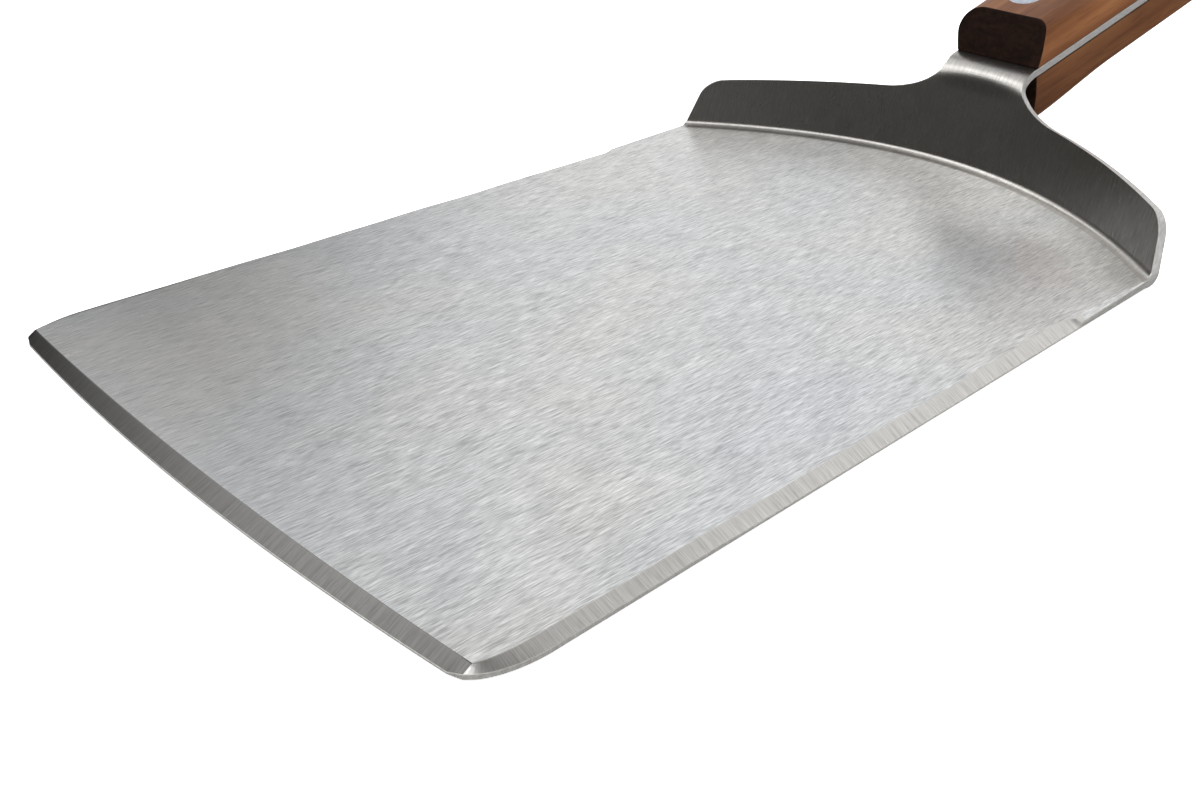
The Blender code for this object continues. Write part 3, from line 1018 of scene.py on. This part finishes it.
CAMERA_PLACE = Vector((0.2025, BLADE_LOW.y - 0.090, BLADE_LOW.z + 0.1362))
CAMERA_AZIMUTH = radians(47.1)
CAMERA_ELEVATION = radians(29.5)
CAMERA_LENS = 43.24
CAMERA_SENSOR = 36.0
CAMERA_CLIP = (0.01, 50.0)
FLOOR_SIZE = 20.0
FLOOR_GAP = 0.0005
BACKDROP_RADIUS = 8.0
BACKDROP_SIDES = 96
STUDIO_TINT = (1.0, 0.93, 0.84, 1.0)
STUDIO_GLOW = 0.035


def direction(azimuth, elevation):
    """A unit vector; the azimuth runs from +Y towards -X."""
    return Vector((-sin(azimuth) * cos(elevation), cos(azimuth) * cos(elevation), sin(elevation)))


def make_camera():
    """The viewpoint: over the blade's right front corner, looking back along the sheet."""
    camera = bpy.data.objects.new("camera", bpy.data.cameras.new("camera"))
    bpy.context.scene.collection.objects.link(camera)
    camera.location = CAMERA_PLACE
    ahead = direction(CAMERA_AZIMUTH, -CAMERA_ELEVATION)
    camera.rotation_euler = ahead.to_track_quat("-Z", "Y").to_euler()
    camera.data.sensor_width = CAMERA_SENSOR
    camera.data.lens = CAMERA_LENS
    camera.data.clip_start, camera.data.clip_end = CAMERA_CLIP
    bpy.context.scene.camera = camera


def softbox(name, azimuth, elevation, distance, size, power, mirrored_in_steel=True):
    """A soft area light that faces the blade from a direction in degrees; size is (width, height)."""
    light = bpy.data.lights.new(name, "AREA")
    light.shape = "RECTANGLE"
    light.size, light.size_y = size
    light.energy = power
    obj = bpy.data.objects.new(name, light)
    bpy.context.scene.collection.objects.link(obj)
    towards = direction(radians(azimuth), radians(elevation))
    obj.location = towards * distance
    obj.rotation_euler = towards.to_track_quat("Z", "Y").to_euler()
    obj.visible_camera = False
    obj.visible_glossy = mirrored_in_steel


def make_floor(material):
    bpy.ops.mesh.primitive_plane_add(size=FLOOR_SIZE, location=(0.0, 0.0, BLADE_LOW.z - FLOOR_GAP))
    floor = bpy.context.object
    floor.name = "floor"
    floor.data.materials.append(material)
    floor.visible_glossy = False


def make_backdrop(material):
    """A pale wall all round, which only the camera sees."""
    bpy.ops.mesh.primitive_cylinder_add(radius=BACKDROP_RADIUS, depth=2 * BACKDROP_RADIUS,
                                        vertices=BACKDROP_SIDES, end_fill_type="NOTHING")
    backdrop = bpy.context.object
    backdrop.name = "backdrop"
    backdrop.data.materials.append(material)
    backdrop.visible_glossy = False
    backdrop.visible_diffuse = False
    backdrop.visible_shadow = False


def make_world():
    world = bpy.data.worlds.new("studio")
    world.use_nodes = True
    background = world.node_tree.nodes["Background"]
    background.inputs["Color"].default_value = STUDIO_TINT
    background.inputs["Strength"].default_value = STUDIO_GLOW
    bpy.context.scene.world = world


def make_stage():
    """The floor, the backdrop and softboxes placed for what each of the steel's faces mirrors."""
    pale = floor_material()
    make_floor(pale)
    make_backdrop(pale)
    make_world()
    softbox("rear_softbox", 6.0, 34.0, distance=1.5, size=(3.4, 1.7), power=17.5)
    softbox("front_softbox", 175.0, 53.0, distance=1.6, size=(2.6, 0.7), power=10.5)
    softbox("high_left_softbox", 98.0, 48.0, distance=1.5, size=(1.0, 0.5), power=4.0)
    softbox("ceiling_softbox", 100.0, 86.0, distance=1.6, size=(1.2, 1.2), power=1.6)
    softbox("left_softbox", 82.0, 38.0, distance=1.5, size=(1.4, 0.9), power=0.4)
    softbox("floor_softbox", -60.0, 86.0, distance=1.6, size=(3.4, 3.4), power=38.0, mirrored_in_steel=False)
    softbox("right_softbox", -105.0, 30.0, distance=1.6, size=(0.9, 0.9), power=6.0)
    bpy.context.scene.view_settings.view_transform = "Standard"


def dress(piece, slot, *nodes):
    """A piece that stands for CAD nodes and rides with the part; slot is not used."""
    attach(piece, "root")
    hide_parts(*nodes)


def steel_finishes():
    """The blade's materials, in the order of their indices."""
    return [
        brushed_steel("web_steel", 1.0, (0.93, 0.95, 0.98), (1.0, 0.99, 0.97)),
        # the flange's copy of the web steel: its darker, warmer tint is painted shade, and its streaks are
        # fainter
        brushed_steel("flange_steel_painted_shade", 0.5, (0.70, 0.68, 0.65), (0.80, 0.77, 0.74)),
        ground_steel("side_ground_steel", 1.0),
        # the front bevel's copy of the ground steel, darkened to 0.26 as painted shade
        ground_steel("front_ground_steel_painted_shade", 0.26),
        edge_steel("sheared_steel", (0.40, 0.39, 0.37), (0.56, 0.55, 0.53)),
        edge_steel("polished_steel", (0.42, 0.41, 0.40), (0.58, 0.57, 0.56)),
    ]


def main():
    make_camera()
    make_stage()
    ends = end_grain_and_painted_shade()
    blade = make_blade(steel_finishes())
    # both scales are darkened to offset the floor's glow, the lower one much more: painted shade
    upper = make_scale("wood_scale_upper", 1, [side_grain("wood_upper", (0.0, 0.0, 0.0), 0.92), ends])
    lower = make_scale("wood_scale_lower", -1, [side_grain("wood_lower_painted_shade", (0.31, 0.17, 0.43), 0.62), ends])
    lower.visible_glossy = False
    rivets = make_rivets(rivet_metal(), (blade, upper, lower))
    dress(blade, "blade_steel", "blade_and_tang")
    dress(upper, "handle_wood", "upper_scale")
    dress(lower, "handle_wood", "lower_scale")
    for piece, node in rivets:
        dress(piece, "rivet_metal", node)


main()
